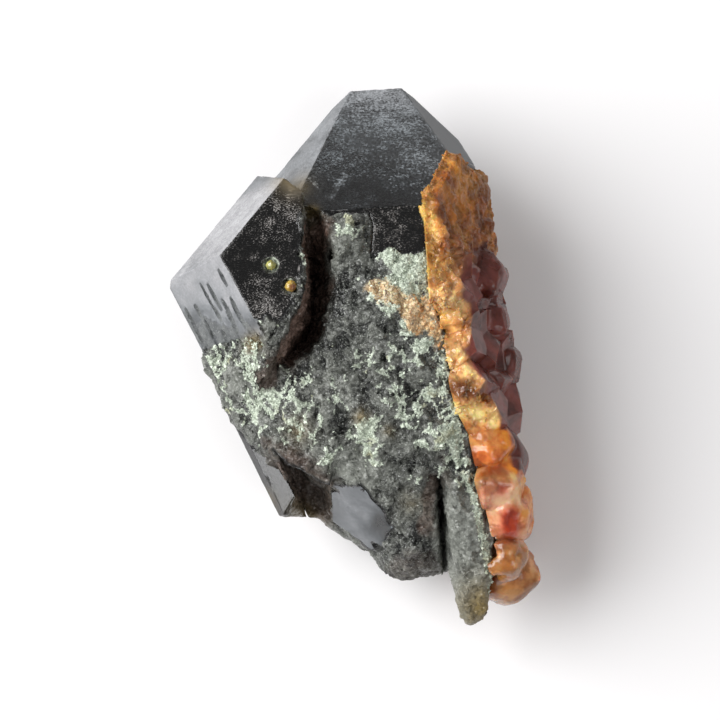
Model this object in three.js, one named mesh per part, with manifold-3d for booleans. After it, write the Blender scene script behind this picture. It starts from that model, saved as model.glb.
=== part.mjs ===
// A smoky quartz specimen with a crust of spessartine garnet, lying on its back.
// Millimetres, +Z up. The quartz's long axis runs along +Y, its point at the +Y end, and the garnets
// grow on its +X side. The origin is on the resting plane, under the middle of the specimen.
import * as THREE from "three";
import { ConvexGeometry } from "three/addons/geometries/ConvexGeometry.js";
import { mergeVertices } from "three/addons/utils/BufferGeometryUtils.js";
import { ImprovedNoise } from "three/addons/math/ImprovedNoise.js";
import Module from "manifold-3d";

const wasm = await Module();
wasm.setup();

// ---- Driving dimensions ----

const LEAN = 3.5; // degrees that the quartz's long axis is turned from +Y, its point towards -X
const RHOMB_SLOPE = 38.2; // degrees from square to the axis: the slope of quartz's pointed end faces
const FRONT = 21; // height of the main crystal's front prism face
const RIDGE_END = 26.2; // how far along the axis the blunt ridge of the point lies
const RIDGE_HEIGHT = 10; // height of that ridge above the resting plane
const RIDGE_LEFT = 0.7; // the ridge runs across from here
const RIDGE_RIGHT = 5.5; // to here
const SIDE_GIRTH = 11.8; // how far the right-hand prism edge stands out
const SIDE_HEIGHT = 12.5; // and its height
const TWIN_FRONT = 22.5; // height of the left crystal's front face, a little proud of the main one
const GAP = 0.3; // space kept between neighbouring solids
const GARNET_SMALL = 0.9; // radius of the garnets at the upper end of the crust
const GARNET_LARGE = 2.3; // radius of the garnets at its lower end
const CRUST_TOP = 17; // how far along the axis the crust starts
const CRUST_FOOT = -22; // and ends
const CRUST_EDGE = 6.7; // where the crust's left-hand edge runs on the front face
const CRUST_LAP = 1; // height of the crust where it laps over the front and end faces
const CRUST_BED = 1.2; // thickness of its granular layer on the right-hand faces, the gap included

// ---- Solids from flat faces ----

const degrees = THREE.MathUtils.degToRad;

function vector(x, y, z) {
  return new THREE.Vector3(x, y, z);
}

// A flat face: the direction it looks in, and a point that it passes through.
function face(direction, point) {
  const normal = direction.clone().normalize();
  return { normal, reach: normal.dot(point) };
}

function grown(faces, by) {
  return faces.map(({ normal, reach }) => ({ normal, reach: reach + by }));
}

// A closed geometry as a solid that can be joined and cut.
function solid(geometry) {
  const bare = geometry.index ? geometry.toNonIndexed() : geometry.clone();
  bare.deleteAttribute("normal");
  bare.deleteAttribute("uv");
  const merged = mergeVertices(bare, 1e-4);
  return new wasm.Manifold(
    new wasm.Mesh({
      numProp: 3,
      vertProperties: merged.getAttribute("position").array,
      triVerts: new Uint32Array(merged.index.array),
    }),
  );
}

function hullOf(points) {
  return solid(new ConvexGeometry(points));
}

// The corners of the convex body that a set of flat faces bounds.
function cornersBetween(faces) {
  const corners = [];
  const tolerance = 1e-6;
  for (let i = 0; i < faces.length; i++) {
    for (let j = i + 1; j < faces.length; j++) {
      for (let k = j + 1; k < faces.length; k++) {
        const [a, b, c] = [faces[i], faces[j], faces[k]];
        const bc = b.normal.clone().cross(c.normal);
        const volume = a.normal.dot(bc);
        if (Math.abs(volume) < tolerance) continue;
        const corner = bc
          .multiplyScalar(a.reach)
          .add(c.normal.clone().cross(a.normal).multiplyScalar(b.reach))
          .add(a.normal.clone().cross(b.normal).multiplyScalar(c.reach))
          .divideScalar(volume);
        if (faces.every((f) => f.normal.dot(corner) <= f.reach + tolerance)) corners.push(corner);
      }
    }
  }
  return corners;
}

function solidBetween(faces) {
  return hullOf(cornersBetween(faces));
}

// ---- Directions of quartz's faces, numbered round the axis from the front: 1 is 60 degrees right ----

function prismFace(side) {
  return vector(Math.sin(degrees(60 * side)), 0, Math.cos(degrees(60 * side)));
}

function rhombFace(side) {
  const slope = degrees(RHOMB_SLOPE);
  return prismFace(side).multiplyScalar(Math.cos(slope)).setY(Math.sin(slope));
}

// ---- Rough lumps: flat faces, rounded where they meet, with a surface of bumps and hollows ----

const noise = new ImprovedNoise();

// Bumps of two sizes. A grain of (x, y, z) says how long they are each way, a heading how they are turned.
function roughness(point, grain, heading) {
  const p = point.clone().applyAxisAngle(vector(0, 0, 1), -degrees(heading)).divide(grain);
  const coarse = noise.noise(p.x, p.y, p.z);
  const fine = noise.noise(2.3 * p.x + 7, 2.3 * p.y + 3, 2.3 * p.z + 5);
  return coarse + 0.5 * fine;
}

// A small sideways shift that keeps a lump's facets from lining up in rows.
function shuffle({ x, y, z }, most) {
  const often = 9;
  const wobble = (start) => 2 * most * noise.noise(often * x + start, often * y, often * z + start);
  return vector(wobble(1.3), wobble(4.7), wobble(8.1));
}

function roughLump({ centre, faces, spread, detail, bump, grain, heading = 0, rounding = 14 }) {
  const shell = new THREE.IcosahedronGeometry(1, detail);
  shell.deleteAttribute("normal");
  shell.deleteAttribute("uv");
  const geometry = mergeVertices(shell, 1e-4);
  const position = geometry.getAttribute("position");
  for (let i = 0; i < position.count; i++) {
    const outward = vector(0, 0, 0).fromBufferAttribute(position, i);
    outward.add(shuffle(outward, 0.3 / detail)).multiply(spread).normalize();
    let closeness = 0;
    for (const { normal, reach } of faces) {
      const facing = normal.dot(outward) / (reach - normal.dot(centre));
      if (facing > 0) closeness += facing ** rounding;
    }
    const surface = outward.clone().multiplyScalar(closeness ** (-1 / rounding)).add(centre);
    surface.addScaledVector(outward, bump * roughness(surface, grain, heading));
    position.setXYZ(i, surface.x, surface.y, surface.z);
  }
  return solid(geometry);
}

// ---- The main crystal ----

const ridgeLeft = vector(RIDGE_LEFT, RIDGE_END, RIDGE_HEIGHT);
const ridgeRight = vector(RIDGE_RIGHT, RIDGE_END, RIDGE_HEIGHT);
const sideEdge = vector(SIDE_GIRTH, 0, SIDE_HEIGHT);

// The right-hand prism face, the face under it and the flat back bound all of the quartz, so they are shared.
const backFace = face(prismFace(3), vector(0, 0, 0));
const rightFaces = [face(prismFace(1), sideEdge), face(vector(0.94, 0, -0.34), sideEdge)];

const mainCrystalFaces = [
  face(prismFace(0), vector(0, 0, FRONT)),
  ...rightFaces,
  backFace,
  face(prismFace(4), vector(-11, 0, 9.5)),
  face(prismFace(5), vector(-11, 0, 9.5)),
  face(rhombFace(0), ridgeRight),
  face(rhombFace(1), ridgeRight),
  face(rhombFace(2), ridgeRight.clone().setY(RIDGE_END + 0.9)),
  face(rhombFace(3), ridgeLeft),
  face(rhombFace(4), ridgeLeft.clone().setY(RIDGE_END + 1.2)),
  face(rhombFace(5), ridgeLeft),
  face(vector(0, -0.42, 0.91), vector(0, 8, FRONT)),
  face(vector(0, -1, 0), vector(0, -2, 0)),
];

// ---- The left crystal: a parallel growth with a long bright end face and a slanting flank ----

const twinTip = vector(-5.9, 15.1, TWIN_FRONT);
const twinLeft = vector(-11.7, 7.6, TWIN_FRONT);
const twinOutermost = vector(-17.1, 7.5, 14);
const flankDirection = vector(-0.784, -0.366, 0.502);

const twinFaces = [
  face(prismFace(0), twinTip),
  face(rhombFace(5), twinTip),
  face(vector(0.63, 0.775, 0.02), twinTip),
  face(flankDirection, twinLeft),
  face(vector(-0.72, -0.3, -0.62), twinOutermost),
  face(rhombFace(4), twinOutermost),
  face(vector(1, -0.03, 0.04), vector(-4.6, 6, TWIN_FRONT)),
  face(vector(0.84, -0.54, 0.05), vector(-4.85, 3.6, TWIN_FRONT)),
  face(vector(0.1, -0.86, 0.5), vector(-7.2, -0.2, TWIN_FRONT)),
  face(vector(0, 0, -1), vector(0, 0, 1.5)),
];

// ---- The broken lower half ----

const lowerHalf = {
  centre: vector(-1, -4, 9),
  faces: [
    face(vector(0, 0.5, 0.87), vector(2, 7.4, 22)),
    face(vector(0, -0.2, 0.97), vector(2, 7, 22.2)),
    face(vector(-0.45, -0.12, 0.88), vector(-5, -2, 19.6)),
    face(vector(0, -0.6, 0.8), vector(0, -11, 17)),
    face(vector(0.3, -0.3, 0.9), vector(6.5, -4, 19.4)),
    face(vector(-0.9, -0.4, 0.3), vector(-13.6, -1.6, 12)),
    face(vector(-0.85, -0.4, -0.4), vector(-12.8, -1.6, 8)),
    face(vector(-0.62, -0.75, 0.1), vector(-4.5, -13.2, 10)),
    face(vector(-0.1, -0.95, -0.3), vector(3, -18.2, 7)),
    face(vector(-0.68, 0.62, 0), vector(-10, 8, 10)),
    face(vector(0, 1, 0.1), vector(0, 13, 18)),
    face(vector(0, -0.08, -1), vector(0, -7, 0)),
    ...grown(rightFaces, 1.2),
  ],
  spread: vector(1.1, 1.5, 1),
  detail: 12,
  bump: 0.8,
  grain: vector(2, 3.6, 2),
  heading: 22,
};

const boulder = {
  centre: vector(-0.8, 9.2, 19),
  faces: [
    face(vector(0.2, -0.25, 1), vector(-0.8, 9.4, 22.5)),
    face(vector(-1, 0.2, 0.5), vector(-2.9, 9.4, 21)),
    face(vector(1, -0.1, 0.9), vector(1.7, 9.4, 21)),
    face(vector(-0.1, 1, 0.6), vector(-0.8, 11.8, 21)),
    face(vector(0, -1, 0.9), vector(-0.8, 7, 21)),
    face(vector(0, 0, -1), vector(0, 0, 16)),
  ],
  spread: vector(1, 1, 1.3),
  detail: 3,
  bump: 0.25,
  grain: vector(1.2, 1.2, 1.2),
};

const bottomLump = {
  centre: vector(4, -15.5, 9.5),
  faces: [
    face(vector(0, -0.3, 1), vector(4, -15.5, 14.2)),
    face(vector(-1, 0, 0.4), vector(1.6, -16, 10)),
    face(vector(1, 0, 0.4), vector(6.6, -16, 10)),
    face(vector(0, -1, 0.3), vector(4, -19.8, 9)),
    face(vector(0, -0.6, -0.8), vector(4, -18.4, 5)),
    face(vector(0, 1, 0), vector(4, -11, 9)),
    face(vector(0, 0, -1), vector(4, -15, 2)),
  ],
  spread: vector(1, 1.2, 1),
  detail: 5,
  bump: 0.5,
  grain: vector(1.5, 1.8, 1.5),
  rounding: 5,
};

// The tail is the right-hand margin of the main crystal, left standing where the rest broke away.
const tail = {
  centre: vector(8.6, -16.5, 8.5),
  faces: [
    face(vector(0, -0.5, 0.87), vector(8, -14.5, 15.4)),
    face(vector(-0.98, -0.18, 0.2), vector(6.7, -15.5, 13)),
    face(vector(-0.92, -0.14, -0.4), vector(6.9, -17, 9)),
    face(vector(0.1, -1, -0.1), vector(10.6, -24.2, 5)),
    face(vector(0, -0.4, -0.9), vector(10, -22, 2.6)),
    face(vector(0, 1, 0.2), vector(8, -10.4, 14)),
    ...grown(rightFaces, -0.4),
  ],
  spread: vector(0.8, 2.4, 1),
  detail: 6,
  bump: 0.3,
  grain: vector(0.9, 4, 1.2),
  heading: 10,
  rounding: 22,
};

// Long flat-sided plates stand side by side along the lower left edge, like slates leaning on each other.
// Each is given by the middle of its upper end, its length, width, height and the way it runs.
const plates = [
  { end: vector(-11.9, -3, 12), length: 12, width: 2.8, height: 8, heading: 23, roll: -38 },
  { end: vector(-10.2, -4.4, 14.4), length: 7, width: 1, height: 7, heading: 26, roll: -18 },
  { end: vector(-8.8, -5.2, 15.4), length: 4.8, width: 1, height: 6, heading: 29, roll: -10 },
  { end: vector(-13.3, 1.4, 12.8), length: 6, width: 1.8, height: 7, heading: 25, roll: -30 },
];

function plate({ end, length, width, height, heading, roll }) {
  const half = width / 2;
  const faces = [
    face(vector(1, 0, 0.12), vector(half, 0, 0)),
    face(vector(-1, 0, 0.18), vector(-half, 0, 0)),
    face(vector(0.25, 0, 1), vector(0, 0, 0)),
    face(vector(-0.5, 0, 0.86), vector(-half / 2, 0, 0)),
    face(vector(0, 0, -1), vector(0, 0, -height)),
    face(vector(0, 0.9, 0.4), vector(0, 0, 0)),
    face(vector(-0.4, -0.9, 0.2), vector(0, -length, 0)),
    face(vector(0.5, -0.86, 0.1), vector(half, -length + half, 0)),
  ];
  return solidBetween(faces)
    .rotate([0, roll, 0])
    .rotate([0, 0, heading])
    .translate([end.x, end.y, end.z]);
}

// ---- Hollows in the quartz ----

// A ring of points round a middle, at one height.
function ring(points, height) {
  return points.map(([x, y]) => vector(x, y, height));
}

// The deep cleft between the two crystals: narrow at the point, widest halfway, closing to the lower left.
const ABOVE = 26;
const cleft = [
  hullOf([
    ...ring([[-4.5, 13.6], [-2.4, 13], [-0.6, 8.6], [-1.4, 4], [-4.6, 2.8]], ABOVE),
    ...ring([[-4.5, 12.8], [-3.1, 12], [-2, 8.4], [-2.6, 4.4], [-4.6, 3.2]], 19),
    ...ring([[-4.4, 8.6], [-3.9, 7], [-4.1, 4.5]], 11.5),
  ]),
  hullOf([
    ...ring([[-4.6, 5], [-1.2, 5], [-2.6, 0.2], [-6.2, -2.4]], ABOVE),
    ...ring([[-9.6, -2.4], [-9, -0.6], [-6.9, 0.2]], ABOVE),
    ...ring([[-4.6, 4.4], [-2.6, 4.2], [-3.6, 0.8], [-6.4, -1.4], [-8.4, -1.6]], 18),
    ...ring([[-4.3, 4.6], [-4.8, 2.2]], 11.5),
  ]),
];

// The brown hollow between the outer plates and the rough front, open at the lower end.
const hollow = hullOf([
  ...ring([[-8.2, -8.4], [-6.6, -8.2], [-3.4, -10.8], [-2.6, -15], [-6, -15]], 16),
  ...ring([[-6.8, -9.8], [-4, -11.6], [-3.6, -15], [-5.4, -15]], 6),
]);

// A clean flat break beside the hollow, where a corner of the quartz split away.
const smoothBreak = solidBetween([
  face(vector(0.55, 0.72, -0.4), vector(-1.4, -13.6, 12.6)),
  face(vector(0.8, -0.6, 0), vector(1, -17, 9)),
  face(vector(-1, 0.3, 0), vector(-3.9, -13.6, 0)),
  face(vector(-0.3, -1, 0), vector(0, -24, 0)),
  face(vector(0, 0, -1), vector(0, 0, 3)),
  face(vector(0, 0, 1), vector(0, 0, 20)),
]);

// The groove between the bottom lump and the tail.
const groove = hullOf([
  ...ring([[6.2, -11], [7, -11.4], [7.6, -20], [5.6, -20]], 18),
  ...ring([[6.5, -13], [6.7, -20]], 7),
]);

// Pits on the left crystal's flank, drawn out along it like scratches with rounded ends.
function flankPits() {
  THREE.MathUtils.seededRandom(4);
  const random = THREE.MathUtils.seededRandom;
  const along = vector(0.42, -0.9, 0).normalize();
  const across = along.clone().cross(flankDirection).normalize();
  const turn = new THREE.Matrix4().makeBasis(across, along, flankDirection.clone().normalize());
  const pits = [];
  const rows = 5;
  const columns = 4;
  for (let row = 0; row < rows; row++) {
    for (let column = 0; column < columns; column++) {
      const pit = new THREE.IcosahedronGeometry(1, 0);
      pit.scale(0.25 + 0.3 * random(), 0.8 + 1.2 * random(), 0.5);
      pit.applyMatrix4(turn);
      const middle = twinLeft
        .clone()
        .addScaledVector(along, 0.8 + 1.7 * column + 0.9 * random())
        .addScaledVector(across, 1 + 1.8 * row + 1.2 * random());
      pit.translate(middle.x, middle.y, middle.z);
      pits.push(solid(pit));
    }
  }
  return pits;
}

// Two single garnets sit in round pits in the left crystal's front face.
const singleGarnets = {
  upper_face_garnet: { middle: vector(-7.5, 7.2, TWIN_FRONT - 0.1), radius: 0.36 },
  lower_face_garnet: { middle: vector(-5.85, 5.2, TWIN_FRONT - 0.05), radius: 0.42 },
};

function roundPit({ middle, radius }) {
  const pit = new THREE.IcosahedronGeometry((radius + GAP) * 1.12, 1);
  pit.translate(middle.x, middle.y, middle.z);
  return solid(pit);
}

// ---- Putting the quartz together ----

function joined(solids) {
  return solids.reduce((whole, next) => whole.add(next));
}

function largestBody(whole) {
  return whole.decompose().reduce((best, body) => (body.volume() > best.volume() ? body : best));
}

const FAR = 60;
const envelope = solidBetween([
  ...rightFaces,
  backFace,
  face(vector(-1, 0, 0), vector(-FAR, 0, 0)),
  face(vector(0, 1, 0), vector(0, FAR, 0)),
  face(vector(0, -1, 0), vector(0, -FAR, 0)),
  face(vector(0, 0, 1), vector(0, 0, FAR)),
]);

function makeQuartz() {
  let quartz = joined([
    solidBetween(mainCrystalFaces),
    roughLump(lowerHalf),
    roughLump(bottomLump),
    roughLump(tail),
    ...plates.map(plate),
  ]);
  quartz = joined([quartz.subtract(hollow).subtract(smoothBreak).subtract(groove), roughLump(boulder)]);
  for (const cut of cleft) quartz = quartz.subtract(cut);
  let twin = solidBetween(twinFaces);
  const pits = [...flankPits(), ...Object.values(singleGarnets).map(roundPit)];
  for (const pit of pits) twin = twin.subtract(pit);
  return largestBody(quartz.add(twin).intersect(envelope));
}

// ---- The garnet crust ----

// Spessartine: the twelve-sided garnet form, its edges cut by the twenty-four-sided one.
function garnetFaces(radius, bevel) {
  const faces = [];
  for (const [a, b] of [[1, 1], [1, -1], [-1, 1], [-1, -1]]) {
    faces.push(face(vector(a, b, 0), vector(0, 0, 0)));
    faces.push(face(vector(a, 0, b), vector(0, 0, 0)));
    faces.push(face(vector(0, a, b), vector(0, 0, 0)));
  }
  const dodecahedron = grown(faces, radius);
  const trapezohedron = [];
  for (const x of [1, -1]) {
    for (const y of [1, -1]) {
      for (const z of [1, -1]) {
        trapezohedron.push(face(vector(2 * x, y, z), vector(0, 0, 0)));
        trapezohedron.push(face(vector(x, 2 * y, z), vector(0, 0, 0)));
        trapezohedron.push(face(vector(x, y, 2 * z), vector(0, 0, 0)));
      }
    }
  }
  return [...dodecahedron, ...grown(trapezohedron, radius * bevel)];
}

const NO_BEVEL = 1.2; // at this share of the radius the twenty-four faces miss the crystal
const plainGarnet = solidBetween(garnetFaces(1, NO_BEVEL));
const bevelledGarnet = solidBetween(garnetFaces(1, 1.06));

function garnet(middle, radius, turns, form = plainGarnet) {
  return form
    .rotate([360 * turns[0], 360 * turns[1], 360 * turns[2]])
    .scale([radius, radius, radius])
    .translate([middle.x, middle.y, middle.z]);
}

const GARNET_CORNER = Math.SQRT2; // how far a garnet's sharpest corners stand out, as a share of its radius

// The largest garnets, each in its own place.
const largeGarnets = [
  { middle: vector(11.6, 6.6, 14.2), radius: 2.2, turns: [0.1, 0.06, 0.02] },
  { middle: vector(11.8, 2.6, 13.4), radius: 2, turns: [0.3, 0.1, 0.4] },
  { middle: vector(12.5, -1, 12), radius: 2.2, turns: [0.15, 0.35, 0.05] },
  { middle: vector(12.2, -5.5, 11.5), radius: 2.3, turns: [0.42, 0.2, 0.3] },
  { middle: vector(9.9, -6.4, 15.2), radius: 1.8, turns: [0.12, 0.3, 0.5] },
  { middle: vector(10.3, -9.8, 13.4), radius: 2.3, turns: [0.22, 0.05, 0.6] },
  { middle: vector(11.9, -14.6, 10.6), radius: 2.9, turns: [0.34, 0.14, 0.2] },
  { middle: vector(12.3, -19.9, 7), radius: 2.5, turns: [0.08, 0.4, 0.25] },
];

const rightAndBack = grown([...rightFaces, backFace], GAP);

// Height of the sloping end face that the front face meets, at a place along the axis.
function endFaceHeight(along) {
  return RIDGE_HEIGHT + (RIDGE_END - along) * Math.tan(degrees(RHOMB_SLOPE));
}

// Height of the crust's upper edge: broken level with the quartz's front, and lower on its pointed end.
function crustEdgeHeight(along) {
  const besideFront = THREE.MathUtils.mapLinear(along, -22, 12, 10.6, 22.2);
  return Math.min(besideFront, endFaceHeight(along));
}

// A spot on the right-hand faces, a given distance down from the upper edge of the crust.
function spotOnSide(along, down, lift) {
  const height = crustEdgeHeight(along) - down * Math.sin(degrees(60));
  const { normal } = rightFaces[height > SIDE_HEIGHT ? 0 : 1];
  const x = SIDE_GIRTH - ((height - SIDE_HEIGHT) * normal.z) / normal.x;
  return vector(x, along, height).addScaledVector(normal, lift);
}

// Where the crust's left-hand edge runs on the end face, the front face and the broken lower half.
const crustLimits = [
  face(vector(-1, 0, 0), vector(CRUST_EDGE, 0, 0)),
  face(vector(-0.91, 0.42, 0), vector(9, 17.2, 0)),
  face(vector(-0.93, -0.37, 0), vector(7.4, -12, 0)),
];

function withinCrust(point, margin) {
  return crustLimits.every(({ normal, reach }) => normal.dot(point) <= reach - margin);
}

// The thin granular layer that the crust starts as. Its upper half laps over the front and end faces.
function makeBed() {
  const seam = 4; // where the two halves meet, each reaching a little past it
  const foot = face(vector(0, -0.1, -1), vector(0, 3, 2.2));
  const upperBed = solidBetween([
    ...grown(rightFaces, CRUST_BED),
    ...grown([face(prismFace(0), vector(0, 0, FRONT)), face(rhombFace(0), ridgeRight)], CRUST_LAP),
    ...crustLimits,
    face(vector(0.1, 0.92, -0.38), vector(9, CRUST_TOP + 0.3, 17)),
    face(vector(0, -1, 0), vector(0, seam - 1, 0)),
    foot,
  ]);
  const lowerBed = solidBetween([
    ...grown(rightFaces, CRUST_BED),
    ...crustLimits,
    face(vector(0, -0.34, 1), vector(0, 12, FRONT + 0.6)),
    face(vector(0, 1, 0), vector(0, seam + 1, 0)),
    face(vector(0.1, -1, 0), vector(12, CRUST_FOOT + 1, 0)),
    foot,
  ]);
  return upperBed.add(lowerBed);
}

// Small grains along the crust's left-hand edge, where it thins out on the front and end faces.
function rimGrains(random) {
  const grains = [];
  const bend = 12.5; // past here the edge slants away from the front face's edge
  const slant = 0.46;
  for (let along = CRUST_TOP - 0.2; along > 3; along -= 0.95) {
    const inset = 0.65 + slant * Math.max(0, along - bend);
    const size = 0.55 + 0.3 * random();
    const height = Math.min(FRONT, endFaceHeight(along)) + 0.25;
    const middle = vector(CRUST_EDGE + inset + 0.5 * random(), along, height);
    grains.push(garnet(middle, size, [random(), random(), random()]));
  }
  return grains;
}

// Rows of garnets down the right-hand faces, growing larger from the crust's upper end to its lower one.
function sideGarnets(random) {
  const garnets = [];
  const widest = 21; // longest way down the right-hand faces from the crust's upper edge
  let along = CRUST_TOP - 1;
  while (along > CRUST_FOOT) {
    const share = THREE.MathUtils.clamp((CRUST_TOP - along) / 22, 0, 1);
    const radius = THREE.MathUtils.lerp(GARNET_SMALL, GARNET_LARGE, share);
    const step = 1.35 * radius;
    for (let down = 0; down < widest; down += step) {
      const size = radius * (0.8 + 0.35 * random());
      const jitter = (random() - 0.5) * step * 0.5;
      const middle = spotOnSide(along + jitter, down + jitter, 0.15 * size);
      const turns = [random(), random(), random()];
      const aboveFloor = middle.z - GARNET_CORNER * size > GAP;
      if (aboveFloor && withinCrust(middle, 0.5 * size)) garnets.push(garnet(middle, size, turns));
    }
    along -= step;
  }
  return garnets;
}

// The space that a rough lump of quartz can reach, with the gap round it.
function clearOf({ faces, bump }) {
  return solidBetween([...grown(faces, bump + GAP), ...rightAndBack]);
}

// All the space inside the right-hand faces that lies below the crust's upper edge.
function belowCrustEdge() {
  return solidBetween([
    ...rightAndBack,
    face(vector(-1, 0, 0), vector(-FAR, 0, 0)),
    face(vector(0, 1, 0), vector(0, RIDGE_END, 0)),
    face(vector(0, -1, 0), vector(0, -FAR, 0)),
    face(vector(0, -0.36, 1), vector(0, 12, FRONT - 1.5)),
  ]);
}

function makeCrust() {
  THREE.MathUtils.seededRandom(11);
  const random = THREE.MathUtils.seededRandom;
  const garnets = [
    ...largeGarnets.map(({ middle, radius, turns }) => garnet(middle, radius, turns, bevelledGarnet)),
    ...sideGarnets(random),
    ...rimGrains(random),
  ];
  const clearance = joined([
    solidBetween(grown(mainCrystalFaces, GAP)),
    ...[lowerHalf, tail].map(clearOf),
    belowCrustEdge(),
  ]);
  return largestBody(joined([makeBed(), ...garnets]).subtract(clearance));
}

// ---- The finished specimen ----

// A solid back as a mesh, turned from the crystal's own axis to the specimen's.
function mesh(name, body, colour, shine) {
  const { vertProperties, triVerts } = body.rotate([0, 0, LEAN]).getMesh();
  const geometry = new THREE.BufferGeometry();
  geometry.setAttribute("position", new THREE.BufferAttribute(vertProperties, 3));
  geometry.setIndex(new THREE.BufferAttribute(triVerts, 1));
  geometry.computeVertexNormals();
  const piece = new THREE.Mesh(geometry, new THREE.MeshStandardMaterial({ color: colour, ...shine }));
  piece.name = name;
  return piece;
}

const specimen = new THREE.Group();
specimen.add(
  mesh("smoky_quartz", makeQuartz(), 0x4a4844, { roughness: 0.35, metalness: 0 }),
  mesh("garnet_crust", makeCrust(), 0xb5531c, { roughness: 0.2, metalness: 0 }),
);
for (const [name, { middle, radius }] of Object.entries(singleGarnets)) {
  const bead = garnet(middle, radius, [0.1, 0.2, 0.3], bevelledGarnet);
  specimen.add(mesh(name, bead, 0xc79a35, { roughness: 0.3, metalness: 0 }));
}

const box = new THREE.Box3().setFromObject(specimen);
const centre = box.getCenter(vector(0, 0, 0));
specimen.children.forEach((piece) => piece.position.set(-centre.x, -centre.y, -box.min.z));

export default specimen;
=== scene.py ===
import heapq
import itertools
import math

import bmesh
import bpy
from mathutils import Matrix, Vector, kdtree, noise


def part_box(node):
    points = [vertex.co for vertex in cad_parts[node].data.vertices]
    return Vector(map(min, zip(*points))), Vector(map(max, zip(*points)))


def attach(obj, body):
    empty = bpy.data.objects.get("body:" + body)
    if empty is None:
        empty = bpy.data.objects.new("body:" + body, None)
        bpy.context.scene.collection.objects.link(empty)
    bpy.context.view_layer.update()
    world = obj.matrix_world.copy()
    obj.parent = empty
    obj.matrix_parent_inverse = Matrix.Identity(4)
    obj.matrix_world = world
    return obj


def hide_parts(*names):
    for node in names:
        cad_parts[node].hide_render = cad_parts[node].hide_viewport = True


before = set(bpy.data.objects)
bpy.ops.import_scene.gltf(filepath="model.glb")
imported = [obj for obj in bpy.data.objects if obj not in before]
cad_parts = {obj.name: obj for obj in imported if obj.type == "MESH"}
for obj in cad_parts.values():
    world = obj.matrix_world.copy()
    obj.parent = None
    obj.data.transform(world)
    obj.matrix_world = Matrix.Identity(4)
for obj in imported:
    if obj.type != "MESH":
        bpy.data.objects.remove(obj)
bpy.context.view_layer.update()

# ---- Smoky quartz ----
# One stone: a flat-pointed crystal, a second crystal grown along its left side, and a lower half that
# broke and healed rough. Crystal faces stay flat and crisp, with worn edges. The rough parts are
# crumbled, and a pale green scale lies on them. The stone is clear brown inside, so dark it looks black.

MILLIMETRE = 0.001


def in_millimetres(node):
    """A CAD node's surface as one closed mesh in millimetres, ready to be worked."""
    bm = bmesh.new()
    bm.from_mesh(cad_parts[node].data)
    bmesh.ops.scale(bm, vec=(1 / MILLIMETRE,) * 3, verts=bm.verts)
    bmesh.ops.remove_doubles(bm, verts=bm.verts, dist=0.002)
    bmesh.ops.triangulate(bm, faces=bm.faces)
    return bm


# Two triangles lie in one flat where the cosine of the angle between them is above this.
SAME_FLAT = 0.99996


def mark_flats(bm, smallest):
    """Numbers each flat of at least that many square millimetres in the face layer "flat".

    Returns the flats' normals by number. Number 0 is for faces that lie in no flat.
    """
    flat = bm.faces.layers.int.new("flat")
    seen, normals = set(), [None]
    for start in bm.faces:
        if start in seen:
            continue
        seen.add(start)
        group, waiting = [start], [start]
        while waiting:
            here = waiting.pop()
            for edge in here.edges:
                for other in edge.link_faces:
                    if other not in seen and other.normal.dot(start.normal) > SAME_FLAT:
                        seen.add(other)
                        group.append(other)
                        waiting.append(other)
        if sum(f.calc_area() for f in group) >= smallest:
            for f in group:
                f[flat] = len(normals)
            normals.append(start.normal.copy())
    return normals


# A triangle below this many square millimetres isn't cut: halving its edges would never end.
SLIVER = 0.00001


def cut_fine(bm, longest):
    """Halves edges, longest first, until none is longer than longest(place, near_border, rough) allows."""
    flat = bm.faces.layers.int["flat"]
    border = {v for e in bm.edges if len({f[flat] for f in e.link_faces}) > 1 for v in e.verts}
    waiting = []

    def consider(edges):
        for e in edges:
            a, b = e.verts
            rough = any(f[flat] == 0 for f in e.link_faces)
            length = e.calc_length()
            if length > longest((a.co + b.co) / 2, a in border or b in border, rough):
                if min(f.calc_area() for f in e.link_faces) > SLIVER:
                    heapq.heappush(waiting, (-length, next(order), e))

    order = itertools.count()
    consider(bm.edges)
    while waiting:
        e = heapq.heappop(waiting)[2]
        on_border = len({f[flat] for f in e.link_faces}) > 1
        middle = bmesh.utils.edge_split(e, e.verts[0], 0.5)[1]
        if on_border:
            border.add(middle)
        for f in list(middle.link_faces):
            corners = list(f.verts)
            bmesh.utils.face_split(f, middle, corners[(corners.index(middle) + 2) % 4])
        consider(middle.link_edges)


def step(low, high, x):
    """0 at low and 1 at high, with a smooth rise between. Low may be the larger of the two."""
    t = min(1.0, max(0.0, (x - low) / (high - low)))
    return t * t * (3 - 2 * t)


def clumps(place, size, octaves=3):
    """Rough noise from about -1 to 1, with clumps of a given size in millimetres."""
    return noise.fractal(place / size, 0.9, 2.1, octaves, noise_basis="PERLIN_ORIGINAL")


def chips(place, size):
    """Flat chips of a given size, each tilted its own way, as a height from about -1 to 1."""
    place = place / size
    centre = noise.voronoi(place)[1][0]
    own = noise.cell_vector(centre * 9.7)
    tilt = Vector((own.y - 0.5, own.z - 0.5, own.x - 0.5))
    return (own.x - 0.5) + 2.4 * tilt.dot(place - centre)


def near_line(place, start, end):
    """How far a place lies from a line between two points, seen from above."""
    a, b, p = Vector(start), Vector(end), Vector((place.x, place.y))
    along = max(0.0, min(1.0, (p - a).dot(b - a) / (b - a).length_squared))
    return (p - a - along * (b - a)).length


def near_path(place, points):
    """How far a place lies from a line through several points, seen from above."""
    return min(near_line(place, a, b) for a, b in zip(points, points[1:]))


def spots(place, marks):
    """The sum of soft round marks, each given as its middle, its reach and its strength."""
    total = 0.0
    for (x, y), reach, strength in marks:
        far = math.hypot(place.x - x, place.y - y) / reach
        if far < 2.5:
            total += strength * math.exp(-far * far)
    return total


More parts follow.
